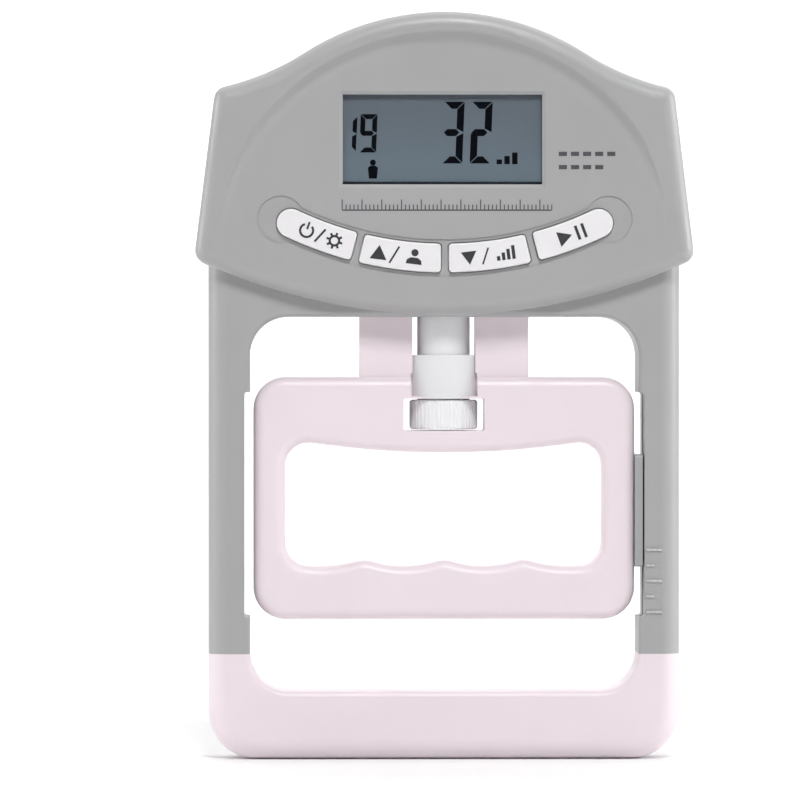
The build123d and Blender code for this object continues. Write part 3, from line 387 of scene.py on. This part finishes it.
def face_prints():
    rule = Print(FACE_Y)
    line_top = RULE_Z + RULE_LINE_W
    rule.bar(RULE_X0, RULE_Z, RULE_X1, line_top)
    for number in range(RULE_TICKS):
        x = RULE_X0 + (RULE_X1 - RULE_X0) * number / (RULE_TICKS - 1)
        top = RULE_LONG_TOP if number % 5 == 0 else RULE_SHORT_TOP
        rule.bar(x - RULE_TICK_W / 2, line_top, x + RULE_TICK_W / 2, top)
    rule.build("panel_rule_print", FACE_INK, "frame", "shell_grey")
    side = Print(FACE_Y)
    for row, z in enumerate(DASH_ROWS_Z):
        for number in range(5 - row):
            x = DASH_X + DASH_PITCH * number
            side.bar(x, z - DASH_W / 2, x + DASH_LENGTH, z + DASH_W / 2)
    side.build("panel_side_print", FACE_INK, "frame", "shell_grey")
    # The span marks on the raised ribs get light ink as a painted highlight.
    marks = Print(MARK_Y, 0.02)
    for number in range(MARK_COUNT):
        z = MARK_FIRST_Z + MARK_PITCH * number
        length = MARK_LONG if number % 2 == 0 else MARK_SHORT
        marks.bar(MARK_X + 0.05, z - MARK_W / 2, MARK_X + length, z + MARK_W / 2)
    marks.build("span_mark_painted_highlight", MARK_HIGHLIGHT_INK, "frame", "shell_grey")


def key_print(key):
    degrees = KEY_DEGREES[key]
    angle = math.radians(degrees)
    centre = (ROW_R * math.sin(angle), ROW_Z - ROW_R * math.cos(angle))
    return Print(KEY_Y, PRINT_T, centre, degrees, KEY_PRINT_SCALE[key])


def key_prints():
    power = key_print("power")
    power.arc(-3.4, 0.0, 1.45, 0.5, 125, 415)
    power.bar(-3.62, 0.3, -3.18, 2.0)
    power.stroke((-0.9, -1.7), (0.5, 1.7), 0.45)
    power.arc(3.2, 0.0, 1.05, 0.5, 0, 360)
    for number in range(8):
        turn = math.radians(45 * number)
        power.stroke((3.2 + 1.2 * math.cos(turn), 1.2 * math.sin(turn)),
                     (3.2 + 1.85 * math.cos(turn), 1.85 * math.sin(turn)), 0.5)
    up = key_print("up")
    up.polygon([(-6.9, -1.5), (-3.1, -1.5), (-5.0, 1.7)])
    up.stroke((-2.4, -2.0), (-0.6, 1.9), 0.4)
    up.disc(3.0, 0.95, 0.8)
    up.polygon([(1.2, -1.6), (4.8, -1.6), (4.6, -0.7), (3.8, -0.15), (2.2, -0.15), (1.4, -0.7)])
    down = key_print("down")
    down.polygon([(-6.7, 1.5), (-4.8, -1.7), (-2.9, 1.5)])
    down.stroke((-1.7, -2.0), (0.1, 1.9), 0.4)
    for number in range(4):
        x = 1.9 + 1.25 * number
        down.bar(x, -1.6, x + 0.8, -0.5 + 0.75 * number)
    start = key_print("start")
    start.polygon([(-2.2, -1.6), (0.7, 0.0), (-2.2, 1.6)])
    start.bar(1.6, -1.5, 2.2, 1.5)
    start.bar(3.0, -1.5, 3.6, 1.5)
    for key, drawing in (("power", power), ("up", up), ("down", down), ("start", start)):
        drawing.build(f"{key}_key_print", INK, f"key_{key}", "key_white")


display_segments()
face_prints()
key_prints()


# ------------------------------------------------------------------------------ stage
def backdrop():
    """A pale floor that curves up into a wall behind the object."""
    floor_front, floor_back = -2.6, 1.0
    bend_radius, bend_steps = 0.8, 16
    wall_top, half_width = 4.0, 4.0
    profile = [(floor_front, 0.0), (floor_back, 0.0)]
    for step in range(1, bend_steps + 1):
        angle = math.pi / 2 * step / bend_steps
        profile.append((floor_back + bend_radius * math.sin(angle), bend_radius * (1 - math.cos(angle))))
    profile.append((floor_back + bend_radius, wall_top))
    vertices = [(side * half_width, y, z) for y, z in profile for side in (-1, 1)]
    faces = [[2 * n, 2 * n + 1, 2 * n + 3, 2 * n + 2] for n in range(len(profile) - 1)]
    mesh = bpy.data.meshes.new("backdrop")
    mesh.from_pydata(vertices, [], faces)
    mesh.update()
    for polygon in mesh.polygons:
        polygon.use_smooth = True
    obj = bpy.data.objects.new("backdrop", mesh)
    bpy.context.scene.collection.objects.link(obj)
    material, tree, shader, coords = new_material("studio_paper")
    fibre = noise(tree, coords, 3.0, 4.0)
    paper = tint(tree, fibre, (0.86, 0.86, 0.86, 1), (0.88, 0.88, 0.88, 1))
    tree.links.new(paper, shader.inputs["Base Color"])
    tree.links.new(spread(tree, fibre, 0.75, 0.85), shader.inputs["Roughness"])
    obj.data.materials.append(material)


def area_light(name, location, target, size, power):
    light = bpy.data.lights.new(name, "AREA")
    light.shape = "RECTANGLE"
    light.size, light.size_y = size
    light.energy = power
    obj = bpy.data.objects.new(name, light)
    obj.location = location
    obj.rotation_euler = (Vector(target) - Vector(location)).to_track_quat("-Z", "Y").to_euler()
    bpy.context.scene.collection.objects.link(obj)


def lighting():
    middle = (0.0, 0.0, 0.10)
    area_light("key_softbox", (0.15, -1.2, 1.38), middle, (0.45, 0.45), 18.4)
    area_light("right_rim_softbox", (1.5, 0.08, 0.5), middle, (0.6, 0.6), 13.2)
    area_light("left_rim_softbox", (-1.5, 0.08, 0.5), middle, (0.6, 0.6), 9.0)
    area_light("fill_softbox", (-1.3, -1.4, 0.6), middle, (1.2, 1.2), 1.0)
    area_light("top_softbox", (0.0, -0.15, 1.7), middle, (1.2, 0.5), 2.5)
    area_light("wall_wash", (0.0, 0.6, 1.5), (0.0, 1.8, 0.4), (2.0, 0.6), 26.0)
    world = bpy.context.scene.world or bpy.data.worlds.new("studio")
    bpy.context.scene.world = world
    world.use_nodes = True
    world.node_tree.nodes["Background"].inputs["Color"].default_value = (1, 1, 1, 1)
    world.node_tree.nodes["Background"].inputs["Strength"].default_value = 0.165


def camera():
    distance, azimuth, elevation = 1.6, math.radians(-1.0), math.radians(0.5)
    target = Vector((-0.0114, -0.010, 0.0925))
    view_width = 0.2056
    data = bpy.data.cameras.new("camera")
    data.sensor_width = 36.0
    data.lens = 36.0 * distance / view_width
    data.clip_start = 0.05
    obj = bpy.data.objects.new("camera", data)
    level = math.cos(elevation)
    offset = Vector((math.sin(azimuth) * level, -math.cos(azimuth) * level, math.sin(elevation)))
    obj.location = target + offset * distance
    obj.rotation_euler = (-offset).to_track_quat("-Z", "Y").to_euler()
    bpy.context.scene.collection.objects.link(obj)
    bpy.context.scene.camera = obj


backdrop()
lighting()
camera()
bpy.context.scene.view_settings.view_transform = "Standard"
